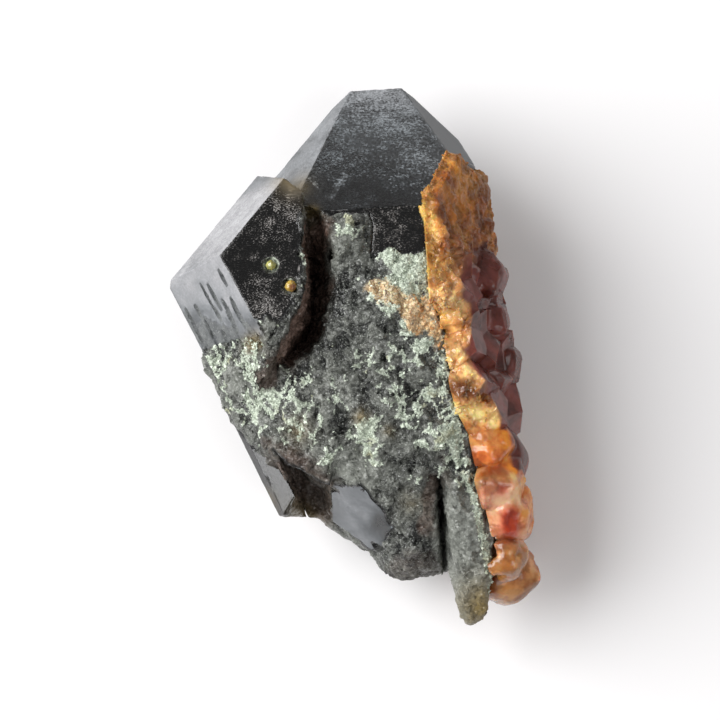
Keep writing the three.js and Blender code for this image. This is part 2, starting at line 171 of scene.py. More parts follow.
def distance_in_from(bm, chosen):
    """For each vertex, how far it lies from the nearest chosen one, in millimetres."""
    tree = kdtree.KDTree(len(chosen))
    for i, v in enumerate(chosen):
        tree.insert(v.co, i)
    tree.balance()
    return {v: tree.find(v.co)[2] for v in bm.verts}


def smooth(bm, verts, rounds):
    """Moves vertices half the way to the middle of their neighbours, a number of times."""
    all_ways = {"use_axis_x": True, "use_axis_y": True, "use_axis_z": True}
    for _ in range(rounds):
        bmesh.ops.smooth_vert(bm, verts=verts, factor=0.5, **all_ways)


# An edge between two flats looks sharp where it turns by more than this.
SOFT_TURN = math.radians(18)


def finish_piece(bm, name, flat=None):
    """The worked mesh in metres, as an object at the origin. Edges between flats are kept sharp."""
    bm.normal_update()
    for e in bm.edges:
        kinds = {f[flat] for f in e.link_faces} if flat is not None else {0}
        e.smooth = len(kinds) == 1 or e.calc_face_angle(0) < SOFT_TURN
    for f in bm.faces:
        f.smooth = True
    bmesh.ops.scale(bm, vec=(MILLIMETRE,) * 3, verts=bm.verts)
    mesh = bpy.data.meshes.new(name)
    bm.to_mesh(mesh)
    bm.free()
    piece = bpy.data.objects.new(name, mesh)
    bpy.context.scene.collection.objects.link(piece)
    return piece


# The slope of quartz's end faces, and how far the crystals' long axis is turned from straight up, in degrees.
END_SLOPE = 38.2
AXIS_TURN = 3.5


def crystal_way(around, slope):
    """Which way a quartz face looks: degrees around from the front, and its slope to the tip."""
    a, s = math.radians(around), math.radians(slope)
    facing = Vector((math.cos(s) * math.sin(a), math.sin(s), math.cos(s) * math.cos(a)))
    return Matrix.Rotation(math.radians(AXIS_TURN), 3, "Z") @ facing


# Which way each face looks, and its finish: frost is how white it has weathered, striae how strongly it
# is grooved across, glints how many bright specks, painted glints, lie on it.
FACES = {
    "point front": (crystal_way(0, END_SLOPE), 0.015, 0.0, 0.14),
    "point left": (crystal_way(-60, END_SLOPE), 0.52, 0.08, 0.0),
    "point right": (crystal_way(60, END_SLOPE), 0.20, 0.0, 0.1),
    "point back": (crystal_way(180, END_SLOPE), 0.12, 0.0, 0.2),
    "point back left": (crystal_way(-120, END_SLOPE), 0.40, 0.0, 0.0),
    "point back right": (crystal_way(120, END_SLOPE), 0.20, 0.0, 0.1),
    "side front": (crystal_way(0, 0), 0.0, 1.0, 1.0),
    "side left": (crystal_way(-60, 0), 0.16, 0.8, 0.3),
    "side right": (crystal_way(60, 0), 0.05, 1.0, 0.4),
    "side back left": (crystal_way(-120, 0), 0.12, 0.8, 0.3),
    "side low right": (Vector((0.94, 0.06, -0.34)), 0.05, 1.0, 0.4),
    "underside": (Vector((0, 0, -1)), 0.15, 0.0, 0.3),
    "flank": (Vector((-0.76, -0.41, 0.50)), 0.40, 0.0, 0.0),
    "flank below": (Vector((-0.70, -0.34, -0.62)), 0.20, 0.0, 0.0),
    "smooth break": (Vector((-0.50, -0.76, 0.41)), 0.28, 0.0, 0.0),
    "plate": (Vector((-0.83, -0.41, 0.37)), 0.03, 0.1, 0.0),
    "plate top": (Vector((-0.36, -0.18, 0.91)), 0.05, 0.1, 0.0),
    "plate below": (Vector((-0.79, -0.39, -0.47)), 0.20, 0.1, 0.0),
}
CRYSTAL_FACES = [kind for kind in FACES if kind.startswith(("point", "side"))]
# A flat is one of these faces where the cosine of the angle between the two is above this.
SAME_WAY = 0.985


def face_kind(normal):
    """The name of the face that looks this way, or nothing where the stone is only broken."""
    if normal is None:
        return None
    best = max(FACES, key=lambda kind: FACES[kind][0].normalized().dot(normal))
    return best if FACES[best][0].normalized().dot(normal) > SAME_WAY else None


# Where the pale scale lies thickest or is missing: middle, reach and strength.
SCALE_SPOTS = [
    ((5.0, 5.4), 2.9, 0.85),
    ((3.4, 7.4), 1.3, 0.40),
    ((1.7, 2.9), 0.7, 0.9),
    ((3.1, 1.7), 0.7, 0.9),
    ((4.6, 0.4), 0.8, 0.9),
    ((6.2, -1.2), 0.8, 0.9),
    ((-7.6, -4.4), 1.9, 0.42),
    ((-5.6, -5.6), 1.8, 0.18),
    ((-8.6, -7.2), 1.5, 0.22),
    ((-3.4, -8.4), 2.4, 0.25),
    ((-6.0, -9.6), 1.4, 0.25),
    ((4.8, -1.9), 1.3, 0.40),
    ((0.6, -3.0), 1.3, 0.40),
    ((2.4, -4.9), 1.5, 0.20),
    ((1.2, -8.6), 1.2, 0.45),
    ((1.4, -11.0), 1.0, 0.35),
    ((-2.4, -11.2), 1.2, 0.35),
    ((5.9, -12.8), 1.0, 0.55),
    ((6.9, -9.4), 1.5, 0.45),
    ((7.2, -5.4), 1.3, 0.35),
    ((4.4, -6.6), 1.3, 0.25),
    ((-6.2, -7.4), 1.4, 0.12),
    ((-0.8, 9.0), 1.3, 0.42),
    ((-0.6, 6.8), 1.9, -0.30),
    ((0.5, 1.6), 3.0, -0.25),
    ((3.2, -14.4), 3.4, -0.25),
    ((7.6, -18.6), 3.6, -0.60),
    ((-11.6, -1.0), 2.2, 0.25),
    ((-9.6, -2.8), 1.3, 0.45),
]
# The seam along which the crust lies on the quartz, from its upper end down.
SEAM = [
    (7.1, 9.5),
    (7.6, 5.0),
    (8.2, -2.0),
    (8.5, -8.0),
    (9.9, -12.0),
    (11.2, -15.0),
    (12.0, -19.0),
    (13.0, -23.0),
]
# The clefts and hollows, where shade is painted: two ends, half the width and how dark the painted shade is.
SHADED_CLEFTS = [
    ((-3.5, 9.5), (-3.6, 4.0), 1.5, 1.0),
    ((-3.6, 4.0), (-4.5, 1.0), 1.7, 1.0),
    ((-4.5, 1.0), (-6.1, -1.9), 1.4, 1.0),
    ((-6.1, -1.9), (-7.9, -3.9), 0.9, 0.85),
    ((-6.2, -12.2), (-3.4, -14.0), 2.2, 0.85),
    ((-7.6, -9.6), (-6.4, -12.0), 0.8, 0.7),
    ((7.0, -12.6), (6.6, -17.0), 0.7, 0.8),
    ((8.0, -10.9), (8.6, -13.0), 0.5, 0.5),
    ((4.0, -20.4), (6.6, -20.0), 1.2, 0.5),
]
# Stretches where the broken quartz is paler or darker: middle, reach and strength. The darker ones beside the
# clefts are painted shade.
TONE_AND_SHADE_STRETCHES = [
    ((-0.6, 7.6), 2.0, 0.60),
    ((-2.8, 4.4), 2.0, -0.55),
    ((-0.8, 3.6), 1.6, -0.35),
    ((-3.6, 0.6), 1.6, -0.45),
    ((1.9, 7.4), 0.9, -0.50),
    ((-5.2, -3.2), 1.2, -0.40),
    ((-0.4, -13.0), 2.4, 1.15),
    ((0.8, -11.4), 1.8, 0.90),
    ((6.4, -18.3), 1.7, -0.40),
    ((-9.6, -4.0), 2.0, 0.30),
]
# Thin places where a brown glow is painted for light coming through: middle, reach and strength.
THIN_GLOW_SPOTS = [
    ((-5.4, 13.4), 1.7, 0.75),
    ((-3.7, 11.0), 0.7, 0.9),
    ((-9.0, -1.1), 0.8, 0.8),
    ((0.7, -7.6), 0.7, 0.7),
    ((3.1, -8.8), 0.6, 0.5),
    ((-4.9, -8.6), 1.2, 0.45),
    ((-4.6, -15.2), 1.5, 0.6),
    ((-8.4, -14.2), 1.4, 0.7),
    ((11.8, -23.8), 2.4, 1.0),
    ((5.2, -14.6), 1.0, 0.3),
]
# The low corner between the plate and the cavity, where the relief fades out.
SMOOTH_CORNER = [((-4.5, -15.0), 1.2, 1.3)]
# Healed scratches on the main point's front: two ends, width and strength.
HEALED_SCRATCHES = [
    ((-2.0, 12.3), (-0.8, 15.0), 0.40, 0.32),
    ((-4.9, 15.5), (-3.3, 13.6), 0.10, 0.35),
]
# The net of scale is bent by noise, which each direction reads from a place of its own.
BEND_PLACES = (Vector((9.3, -1.5, -8.0)), Vector((0, 0, 0)), Vector((6.3, 0.2, -2.7)))


def scale_cover(place, normal):
    """From 0, bare quartz, to 1, all under pale scale."""
    along = Vector((place.x, place.y * 0.55, place.z))
    cover = 0.385 + 0.34 * clumps(along, 2.6, 2) + 0.16 * clumps(along + Vector((7, 3, 1)), 0.9, 2)
    from_crust = near_path(place, SEAM) if place.x > 5 else 9.0
    cover += 0.45 * math.exp(-((from_crust / 0.9) ** 2)) - 0.25 * step(-12.5, -14.5, place.y)
    cover += spots(place, SCALE_SPOTS)
    cover *= step(-0.1, 0.45, normal.z) * step(4.0, 9.0, place.z)
    return max(0.0, min(1.0, cover))


def scale_net(place, cover):
    """1 where scale lies, 0 where the quartz is bare: a net that closes up where cover is high."""
    bend = Vector([noise.noise(place / 1.1 + at, noise_basis="PERLIN_ORIGINAL") for at in BEND_PLACES])
    bent = Vector((place.x, place.y * 0.62, place.z)) + 0.45 * bend
    far = noise.voronoi(bent / 1.2)[0]
    ridge = 1 - step(0.0, 0.22, far[1] - far[0])
    return step(0.56, 0.88, cover + 0.38 * ridge - 0.14 + 0.26 * clumps(place, 0.8, 2))


def cleft_shading(place):
    """1 at the bottom of a cleft, 0 outside it: where the clefts lie, and how much shade is painted there."""
    cleft_shade = 0.0
    for start, end, half_width, depth in SHADED_CLEFTS:
        far = near_line(place, start, end) + 0.55 * clumps(place, 1.4, 3)
        cleft_shade = max(cleft_shade, depth * step(1.45, 0.50, far / half_width))
    return cleft_shade


# The crust's crumbs spread over the quartz along two lines, one on from the other: ends and reach.
SPREAD_LINES = [((9.2, -0.2), (6.0, 1.4), 1.6), ((6.0, 1.4), (1.8, 4.0), 0.9)]


def tan_spread(place):
    """1 where the crust's crumbs spread over the quartz, 0 elsewhere."""
    near = max(math.exp(-((near_line(place, a, b) / reach) ** 2)) for a, b, reach in SPREAD_LINES)
    return step(0.25, 0.60, near + 0.45 * clumps(place, 1.1) * min(1.0, 3 * near))


def on_tail(place):
    """1 on the long smooth blade that runs out at the lower end, 0 elsewhere."""
    return step(5.6, 7.2, place.x + 0.35 * (place.y + 16)) * step(-13.2, -15.0, place.y)


def crumble(place, scaled):
    """How far the rough quartz stands out, in millimetres: lumps, chips and grit, with the scale on top."""
    along = Vector((place.x, place.y * 0.7, place.z))
    relief = 0.22 * clumps(along, 2.0, 2) + 0.24 * chips(along, 1.3) + 0.12 * chips(place, 0.6)
    pits = 0.35 * step(0.30, 0.62, clumps(along + Vector((3, 8, 0)), 1.3, 2))
    relief += 0.12 * scaled - pits
    drawn = Vector((place.x + 0.45 * place.y, place.y * 0.2, place.z))
    blade = 0.22 * clumps(drawn, 1.5, 2) + 0.18 * chips(drawn, 0.9) + 0.08 * chips(place, 0.5)
    return relief + (blade - relief) * 0.85 * on_tail(place)


quartz_bm = in_millimetres("smoky_quartz")
quartz_kinds = [face_kind(normal) for normal in mark_flats(quartz_bm, 2.0)]
quartz_flat = quartz_bm.faces.layers.int["flat"]
for f in quartz_bm.faces:
    if quartz_kinds[f[quartz_flat]] is None:
        f[quartz_flat] = 0
BEADS = ("upper_face_garnet", "lower_face_garnet")
bead_middles = [(Vector(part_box(node)[0]) + Vector(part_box(node)[1])) / (2 * MILLIMETRE) for node in BEADS]


def from_bead(place):
    """How far a place lies from the middle of the nearer yellow garnet."""
    return min((place - middle).length for middle in bead_middles)


def among_pits(place):
    """Whether a place lies in the part of the flank that has the long pits."""
    return place.z > 13 and place.x < -8.5 and place.y > -0.5


def up_flank(place):
    """How far up a place lies from where the whole surface of the flank ends."""
    return place.y + 0.51 * (place.x + 13.5)


def quartz_fineness(place, near_border, rough):
    """The longest edge allowed: short where the stone has small shapes, longer on flats and underneath."""
    if place.z > 20 and from_bead(place) < 1.0:
        return 0.14
    if rough:
        return 0.285 if place.z > 12 else 0.44 if place.z > 5 else 0.8
    if near_border:
        return 0.28 if place.z > 9 else 0.9
    if place.z > 14 and any(near_line(place, a, b) < 2.2 * width for a, b, width, _ in HEALED_SCRATCHES):
        return 0.2
    return 0.9 if place.z > 5 else 1.5


def worn_away(kind, place):
    """Whether a crystal face has lost its surface at a place and gone rough."""
    ragged = 0.7 * clumps(place, 1.6)
    if place.y > -5 and cleft_shading(place) > 0.4 and kind != "point front":
        return True
    if kind == "side front" and place.z < 20.4:
        return True
    if kind == "flank":
        return up_flank(place) < 1.7 + ragged
    if kind == "side front" and place.x < -4:
        return place.y + 0.3 * (place.x + 7.2) < 1.0 + ragged
    return kind == "smooth break" and place.y > -13.3 + ragged


# The worn-away parts are marked on coarse triangles, and their outline again once it is cut fine.
for fineness in (lambda place, near_border, rough: 0.9), quartz_fineness:
    cut_fine(quartz_bm, fineness)
    for f in quartz_bm.faces:
        if f[quartz_flat] and worn_away(quartz_kinds[f[quartz_flat]], f.calc_center_median()):
            f[quartz_flat] = 0
rough_layer, height_layer, cleft_shade_layer, thin_glow_layer, tan_layer = (
    quartz_bm.verts.layers.float.new(name) for name in ("rough", "height", "cleft_shade", "thin_glow", "tan")
)
net_layer, loose_layer, powder_layer, worn_layer = (
    quartz_bm.verts.layers.float.new(name) for name in ("net", "loose", "powder", "worn")
)
on_flat = {v for v in quartz_bm.verts if any(f[quartz_flat] for f in v.link_faces)}
on_border = [v for v in quartz_bm.verts if v in on_flat and len({f[quartz_flat] for f in v.link_faces}) > 1]

# The broken parts lose their sawn look first: all are softened a little, and the cleft's walls a lot.
broken = [v for v in quartz_bm.verts if v not in on_flat and v.co.z > 1]
smooth(quartz_bm, [v for v in broken if cleft_shading(v.co) > 0.02 and v.co.z > 5], 14)
smooth(quartz_bm, broken, 4)
quartz_bm.normal_update()
from_flat = distance_in_from(quartz_bm, [v for v in quartz_bm.verts if v in on_flat])

# Up to this height the stone keeps the flat underside that it lies on.
FOOT = 0.4
moves = {}
for v in quartz_bm.verts:
    place, pitted, tail, ring = v.co, among_pits(v.co), on_tail(v.co), from_bead(v.co)
    calm = 0.2 if pitted else 1.0
    roughness = step(0.0, 0.15 if pitted else 0.5, from_flat[v])
    scaled = scale_net(place, scale_cover(place, v.normal)) * roughness * calm * (1 - 0.9 * tail)
    relief = crumble(place, scaled) * calm * (1 - min(1.0, spots(place, SMOOTH_CORNER)))
    v[rough_layer] = max(roughness * (0.35 if pitted else 1.0), step(0.95, 0.60, ring))
    # The shader paints dark brown shade in the clefts where this is high.
    v[cleft_shade_layer] = cleft_shading(place) * step(22.6, 21.4, place.z)
    # The shader paints a brown glow of light coming through where this is high.
    v[thin_glow_layer] = min(1.0, spots(place, THIN_GLOW_SPOTS))
    v[tan_layer] = tan_spread(place) * roughness

    # Crumbs lie on the rough tops: none among the pits or deep in a cleft, and fewer on the tail.
    loose = step(0.6, 1.0, roughness) * step(3.0, 8.0, place.z) * (1 - v[cleft_shade_layer]) * (1 - 0.6 * tail)
    v[loose_layer] = loose * (not pitted)
    v[loose_layer] *= step(0.1, 0.6, v.normal.z)

    # Scale also lies in a ring round each yellow garnet, and beside the crust's lower end.
    v[net_layer] = max(scaled * (1 - 0.9 * v[cleft_shade_layer]), 0.6 * step(0.80, 0.66, ring))
    if place.y < -12 and v.normal.z > 0 and place.z > 6:
        rim = near_path(place, SEAM[4:]) + 0.5 * abs(clumps(place, 0.7, 2))
        v[net_layer] = max(v[net_layer], 0.9 * step(0.75, 0.3, rim))
    v[powder_layer] = v[net_layer] ** 2 * step(0.9, 1.2, ring) * (1 - 0.9 * v[tan_layer])

    drawn = Vector((place.x + 0.5 * place.y, place.y * 0.15, place.z))
    pale = tail * (0.62 + 0.95 * clumps(drawn, 0.8, 3)) + spots(place, TONE_AND_SHADE_STRETCHES)
    # The shader paints shade into the low places of the relief, from this height.
    v[height_layer] = 0.5 + 1.3 * relief + pale
    if place.z > FOOT:
        moves[v] = v.normal * (roughness * relief)

# The edges of the flats are worn down, more in some places than in others.
for v in on_border:
    sharpness = step(0.2, 0.8, max(e.calc_face_angle(0) for e in v.link_edges))
    worn = max(0.0, min(1.0, 0.45 + 1.4 * clumps(v.co, 1.3))) * sharpness
    v[worn_layer] = worn * step(4.0, 8.0, v.co.z)
    if v.co.z > FOOT:
        moves[v] = -v.normal * (0.03 * sharpness + 0.06 * worn)
for v, move in moves.items():
    v.co += move
smoky_quartz = finish_piece(quartz_bm, "smoky_quartz_stone", quartz_flat)


def look_of_face(kind, place):
    """Frost, striae, painted glints and blots of a crystal face at a place, in millimetres."""
    if kind is None:
        return (0.24 if among_pits(place) else 0.0), 0.0, 0.0, 0.0
    _, frost, striae, silver = FACES[kind]
    if kind == "point front":
        frost += 0.065 * step(12.0, 17.0, place.y) + 0.25 * step(18.5, 25.5, place.y)
        frost += spots(place, [((6.2, 17.8), 3.2, 0.10), ((0.6, 20.0), 2.6, 0.05), ((7.6, 14.0), 2.0, 0.05)])
        for start, end, width, strength in HEALED_SCRATCHES:
            edge = width * (1 + 1.2 * clumps(place, 0.5, 2))
            frost += 0.5 * strength * step(1.5, 0.0, near_line(place, start, end) / max(edge, 0.02))
    if kind == "point left":
        darker = 0.22 * step(12.6, 14.4, place.y) + spots(place, [((-14.4, 6.0), 2.6, 0.14)])
        frost -= darker - 0.05 * clumps(place, 1.2)
    if kind == "side front":
        # The painted glints are thickest in a few places and towards the right.
        bright = [((-6.8, 10.4), 2.2, 1.0), ((-7.6, 1.0), 2.4, 1.1), ((1.6, 9.0), 2.4, 0.6)]
        silver *= 0.20 + spots(place, bright)
        silver += 0.10 * step(-3.0, 0.0, place.x)
        frost += spots(place, [((-5.3, 13.0), 1.5, 0.20)])
        for start, end in (((-4.4, 9.6), (-4.5, 6.4)), ((-4.5, 6.4), (-4.9, 4.4))):
            frost += 0.30 * step(0.22, 0.0, near_line(place, start, end) + 0.25 * clumps(place, 0.5))
    if kind == "flank":
        frost += 0.10 * clumps(place, 1.6, 3) - 0.16 * step(5.0, 1.0, up_flank(place))
    if kind.startswith("plate"):
        frost += 0.14 * clumps(Vector((place.x + 0.5 * place.y, place.y * 0.35, place.z)), 1.1, 3)
    if kind == "smooth break":
        darker = [((2.2, -16.4), 0.8, 0.2), ((3.2, -17.4), 0.7, 0.2)]
        frost += 0.07 * clumps(place, 1.8, 3) - spots(place, darker)
    blots = 0.5 if kind in CRYSTAL_FACES else 0.2
    if kind == "point front":
        blots = 1.8 - 0.7 * step(12.0, 20.0, place.y)
    return frost, striae, silver, blots


# Each corner of a face carries the looks of its own face, so that they change sharply at an edge.
mesh = smoky_quartz.data
looks = {name: [0.0] * len(mesh.loops) for name in ("frost", "striae", "silver", "blots")}
flat_numbers = mesh.attributes["flat"].data
for face in mesh.polygons:
    kind = quartz_kinds[flat_numbers[face.index].value]
    for corner, vertex in zip(face.loop_indices, face.vertices):
        values = look_of_face(kind, mesh.vertices[vertex].co / MILLIMETRE)
        for name, value in zip(looks, values):
            looks[name][corner] = value
for name, values in looks.items():
    mesh.attributes.new(name, "FLOAT", "CORNER").data.foreach_set("value", values)


def wire(tree, kind, inputs=None, **settings):
    """Adds a node, sets its inputs to values or joins them to sockets, and returns it."""
    made = tree.nodes.new(kind)
    for name, value in settings.items():
        setattr(made, name, value)
    for name, value in (inputs or {}).items():
        socket = made.inputs[name]
        if isinstance(value, bpy.types.NodeSocket):
            tree.links.new(value, socket)
        else:
            socket.default_value = value
    return made


def blank_material(name):
    material = bpy.data.materials.new(name)
    material.use_nodes = True
    material.node_tree.nodes.clear()
    return material, material.node_tree


def attribute(tree, name):
    return wire(tree, "ShaderNodeAttribute", attribute_name=name).outputs["Fac"]


def maths(tree, operation, a, b=0.0, c=0.0, clamp=False):
    made = wire(tree, "ShaderNodeMath", {0: a, 1: b, 2: c}, operation=operation, use_clamp=clamp)
    return made.outputs[0]


def times(tree, a, b):
    return maths(tree, "MULTIPLY", a, b)


def times_plus(tree, a, b, c, clamp=False):
    """A times b, plus c."""
    return maths(tree, "MULTIPLY_ADD", a, b, c, clamp)


def most(tree, a, b):
    return maths(tree, "MAXIMUM", a, b)


def centred(tree, value):
    """Noise from 0 to 1, moved to lie from -0.5 to 0.5."""
    return maths(tree, "SUBTRACT", value, 0.5)


def rest_of(tree, share):
    return maths(tree, "SUBTRACT", 1.0, share)


def vector_maths(tree, operation, a, b=(0, 0, 0), output=0):
    return wire(tree, "ShaderNodeVectorMath", {0: a, 1: b}, operation=operation).outputs[output]


def grain(tree, coords, size, detail=3.0, rough=0.6, stretch=None):
    """Noise from 0 to 1 in the piece's own coordinates, with blots of about a given size in millimetres."""
    if stretch:
        coords = wire(tree, "ShaderNodeMapping", {"Vector": coords, "Scale": stretch}).outputs[0]
    sizes = {"Vector": coords, "Scale": 0.5 / (size * MILLIMETRE), "Detail": detail, "Roughness": rough}
    return wire(tree, "ShaderNodeTexNoise", sizes).outputs["Fac"]


def between(tree, low, high, value):
    """0 below low, 1 above high, smooth in between."""
    ends = {"Value": value, "From Min": low, "From Max": high}
    return wire(tree, "ShaderNodeMapRange", ends, interpolation_type="SMOOTHSTEP").outputs["Result"]


def blend(tree, share, a, b):
    made = wire(tree, "ShaderNodeMix", {"Factor": share}, data_type="RGBA")
    for socket, value in ((made.inputs[6], a), (made.inputs[7], b)):
        if isinstance(value, bpy.types.NodeSocket):
            tree.links.new(value, socket)
        else:
            socket.default_value = (*value, 1)
    return made.outputs[2]


def tilted_facets(tree, coords, size):
    """Height in metres of small flat facets, each tilted its own way, for a broken, sparkling surface."""
    cells = wire(tree, "ShaderNodeTexVoronoi", {"Vector": coords, "Scale": 1 / (size * MILLIMETRE)})
    off = vector_maths(tree, "SUBTRACT", coords, cells.outputs["Position"])
    own = vector_maths(tree, "SUBTRACT", cells.outputs["Color"], (0.5, 0.5, 0.5))
    return vector_maths(tree, "DOT_PRODUCT", off, own, "Value")


def bump(tree, height, strength, distance, below=None):
    inputs = {"Height": height, "Strength": strength, "Distance": distance}
    if below is not None:
        inputs["Normal"] = below
    return wire(tree, "ShaderNodeBump", inputs).outputs[0]


def end_material(tree, looks, inside=None):
    """Ends a material in one shader, and a clear stone also in the colour and the density of its inside."""
    ends = {"Surface": wire(tree, "ShaderNodeBsdfPrincipled", looks).outputs[0]}
    if inside:
        absorbed = {"Color": (*inside[0], 1), "Density": inside[1]}
        ends["Volume"] = wire(tree, "ShaderNodeVolumeAbsorption", absorbed).outputs[0]
    wire(tree, "ShaderNodeOutputMaterial", ends)


def smoky_quartz_material():
    material, tree = blank_material("smoky quartz")
    place = wire(tree, "ShaderNodeTexCoord").outputs["Object"]
    frost, striae, silver, blots = (attribute(tree, name) for name in ("frost", "striae", "silver", "blots"))
    rough, net, height = (attribute(tree, name) for name in ("rough", "net", "height"))
    cleft_shade, thin_glow, worn, tan = (attribute(tree, name) for name in ("cleft_shade", "thin_glow", "worn", "tan"))

    fine = grain(tree, place, 0.16, 4, 0.65)
    speck = grain(tree, place, 0.075, 2, 0.6)
    dashes = grain(tree, place, 0.05, 2, 0.6, (0.6, 1.1, 1.0))
    patches = grain(tree, place, 0.55, 3, 0.6)
    cloud = grain(tree, place, 2.0, 3, 0.55)
    lines = grain(tree, place, 0.5, 3, 0.6, (0.25, 5.0, 1.0))

    # Crystal faces: a thin frost, mottled in small soft blots, over black clear quartz.
    mottle = times(tree, centred(tree, grain(tree, place, 0.11, 2, 0.55)), 2.4)
    mottle = times_plus(tree, centred(tree, patches), 1.0, mottle)
    mottle = times_plus(tree, centred(tree, cloud), 1.2, mottle)
    mottle = times(tree, mottle, blots)
    veil = times_plus(tree, frost, mottle, frost)
    veil = times_plus(tree, most(tree, mottle, 0.0), 0.13, veil, clamp=True)
    # Painted glints: bright specks put into the colour of the faces, as many as glints says.
    glint_share = times_plus(tree, silver, 0.10, dashes)
    glint_share = times_plus(tree, centred(tree, patches), 0.55, glint_share)
    glint_share = times(tree, between(tree, 0.60, 0.75, glint_share), between(tree, 0.0, 0.3, silver))
    veil = most(tree, veil, times(tree, glint_share, 0.40))
    worn_share = times(tree, between(tree, 0.35, 0.9, worn), rest_of(tree, rough))
    veil = most(tree, veil, times(tree, worn_share, 0.5))
    white = blend(tree, between(tree, 0.05, 0.5, frost), (0.50, 0.56, 0.60), (0.60, 0.60, 0.62))
    white = blend(tree, between(tree, 0.2, 0.8, striae), white, (0.56, 0.54, 0.52))
    black = blend(tree, between(tree, 0.0, 1.0, striae), (0.010, 0.010, 0.011), (0.016, 0.011, 0.009))
    body = blend(tree, veil, black, white)

    # Broken quartz: painted shade makes it dark in its pits, grey on its chips, with small bright painted
    # glints between.
    tone = times_plus(tree, patches, 0.6, times(tree, height, 0.4))
    tone = times_plus(tree, fine, 0.55, tone)
    tone = between(tree, 0.53, 1.07, tone)
    broken = blend(tree, tone, (0.015, 0.016, 0.015), (0.250, 0.260, 0.232))
    broken = blend(tree, between(tree, 0.57, 0.70, speck), broken, (0.46, 0.48, 0.44))
    body = blend(tree, rough, body, broken)

    # Scale: pale green, powdery, paler on its ridges, and stained olive in a few places.
    score = times_plus(tree, centred(tree, fine), 1.5, net)
    score = times_plus(tree, centred(tree, patches), 0.7, score)
    scaled = times(tree, between(tree, 0.42, 0.62, score), between(tree, 0.0, 0.3, rough))
    powder = times_plus(tree, speck, 0.5, times(tree, fine, 0.5))
    pale = blend(tree, between(tree, 0.35, 0.65, powder), (0.25, 0.29, 0.23), (0.70, 0.76, 0.64))
    stain = between(tree, 0.58, 0.68, grain(tree, place, 1.3, 2, 0.5))
    pale = blend(tree, times(tree, stain, 0.55), pale, (0.36, 0.33, 0.17))
    body = blend(tree, scaled, body, pale)

    # Tan crumbs of garnet by the crust, painted brown shade in the clefts, and a painted brown glow where
    # light comes through thin places.
    crumbs = blend(tree, between(tree, 0.35, 0.65, fine), (0.44, 0.25, 0.12), (0.86, 0.68, 0.42))
    body = blend(tree, times(tree, tan, between(tree, 0.26, 0.44, patches)), body, crumbs)
    # Painted shade: dark brown in the clefts, a little lighter at their very bottom.
    deep = blend(tree, between(tree, 0.35, 0.7, fine), (0.040, 0.026, 0.019), (0.10, 0.073, 0.058))
    inmost = blend(tree, between(tree, 0.35, 0.7, fine), (0.12, 0.075, 0.055), (0.26, 0.18, 0.15))
    deep = blend(tree, maths(tree, "POWER", cleft_shade, 9.0), deep, inmost)
    body = blend(tree, times(tree, cleft_shade, rough), body, deep)
    # Painted glow: brown light through thin places, put into the colour.
    glow = times(tree, thin_glow, between(tree, 0.15, 0.5, cloud))
    colour = blend(tree, glow, body, (0.20, 0.145, 0.055))

    # Clean faces are clear. Frost, scale, the clefts' painted shade and the painted glow of thin places hide
    # the inside.
    opaque = most(tree, most(tree, scaled, glow), between(tree, 0.0, 0.35, veil))
    opaque = most(tree, opaque, times(tree, cleft_shade, rough))
    clear = rest_of(tree, opaque)
    clear = times(tree, clear, times_plus(tree, rough, -0.8, 1.0))
    dullness = times_plus(tree, between(tree, 0.0, 0.3, frost), 0.48, 0.15)
    dullness = times_plus(tree, rough, 0.16, dullness)
    dullness = times_plus(tree, scaled, 0.35, dullness, clamp=True)

    facets = maths(tree, "ADD", tilted_facets(tree, place, 0.55), tilted_facets(tree, place, 0.22))
    broken_normal = bump(tree, times(tree, facets, rough), 1.0, 0.9)
    relief = times_plus(tree, lines, striae, times(tree, fine, 0.25))
    relief = times_plus(tree, scaled, 0.6, relief)
    normal = bump(tree, relief, 0.55, 0.00012, broken_normal)
    looks = {
        "Base Color": colour,
        "Roughness": dullness,
        "Transmission Weight": clear,
        "Normal": normal,
        "IOR": 1.54,
        "Specular IOR Level": 0.33,
    }
    end_material(tree, looks, inside=((0.42, 0.29, 0.17), 900.0))
    return material


smoky_quartz.data.materials.append(smoky_quartz_material())
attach(smoky_quartz, "root")
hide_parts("smoky_quartz")

# ---- Scale crumbs and quartz crumbs ----
# Grains that have grown onto the broken quartz: pale green flakes along the net of scale, and angular
# crumbs of quartz between them. Each grain sits in the stone's surface, and next to none lie on a crystal
# face.


def crumb(name, seed, flatness):
    """A small angular grain about one unit across, to be sown by geometry nodes."""
    bm = bmesh.new()
    bmesh.ops.create_icosphere(bm, subdivisions=1, radius=0.5)
    for v in bm.verts:
        v.co += 0.55 * (noise.cell_vector(v.co * 9 + Vector((seed, 0, 0))) - Vector((0.5, 0.5, 0.5)))
        v.co.z *= flatness
    mesh = bpy.data.meshes.new(name)
    bm.to_mesh(mesh)
    bm.free()
    return bpy.data.objects.new(name, mesh)


# All the way round, in radians.
FULL_TURN = 6.28


